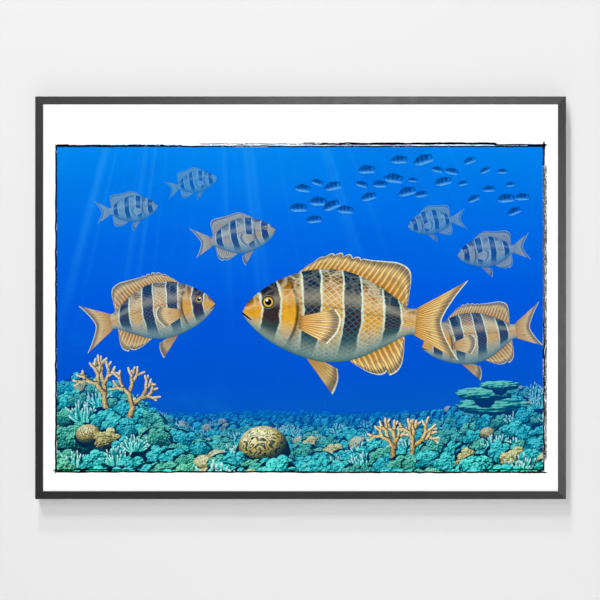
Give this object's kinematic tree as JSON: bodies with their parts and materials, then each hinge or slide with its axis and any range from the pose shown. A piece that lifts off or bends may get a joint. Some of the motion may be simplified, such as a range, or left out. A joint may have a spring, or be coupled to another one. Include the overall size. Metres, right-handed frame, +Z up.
{
  "type": "framed print",
  "caption": "Landscape print with white margins in a slim black mitred wooden frame, with clear glazing, a backing board held by flat points, toothed hangers and wall bumpers.",
  "frame": {"origin": "on the wall plane, midway between the two hangers, at the roots of their teeth, where the wall nails carry the frame", "axes": "+X to the right as seen from the front, +Y from the picture into the wall, so that the picture faces -Y, and +Z up"},
  "size_m": [0.816, 0.0225, 0.619],
  "materials": {
    "frame_wood": "black stain under a satin lacquer, with a faint open grain",
    "glazing": "clear smooth acrylic sheet",
    "paper": "bright white fine art paper, matt, with a rough black ink line round the picture",
    "printed_picture": "pigment ink on matt paper: a blue and turquoise underwater scene",
    "backing_board": "brown hardboard, smooth pressed face",
    "spring_steel": "bright rolled steel strip",
    "hanger_brass": "brass-plated pressed steel",
    "bumper": "soft dark rubber"
  },
  "bodies": {
    "root": {"backing_board": "backing_board", "bumper_left": "bumper", "bumper_right": "bumper", "corner_nail_bottom_left": "spring_steel", "corner_nail_bottom_right": "spring_steel", "corner_nail_top_left": "spring_steel", "corner_nail_top_right": "spring_steel", "glazing": "glazing", "hanger_left": "hanger_brass", "hanger_nail_left_1": "hanger_brass", "hanger_nail_left_2": "hanger_brass", "hanger_nail_right_1": "hanger_brass", "hanger_nail_right_2": "hanger_brass", "hanger_right": "hanger_brass", "point_bottom_1": "spring_steel", "point_bottom_2": "spring_steel", "point_bottom_3": "spring_steel", "point_bottom_4": "spring_steel", "point_bottom_5": "spring_steel", "point_left_1": "spring_steel", "point_left_2": "spring_steel", "point_left_3": "spring_steel", "point_left_4": "spring_steel", "point_right_1": "spring_steel", "point_right_2": "spring_steel", "point_right_3": "spring_steel", "point_right_4": "spring_steel", "point_top_1": "spring_steel", "point_top_2": "spring_steel", "point_top_3": "spring_steel", "point_top_4": "spring_steel", "point_top_5": "spring_steel", "print_picture": "printed_picture", "print_sheet": "paper", "rail_bottom": "frame_wood", "rail_top": "frame_wood", "stile_left": "frame_wood", "stile_right": "frame_wood"}
  },
  "joints": []
}
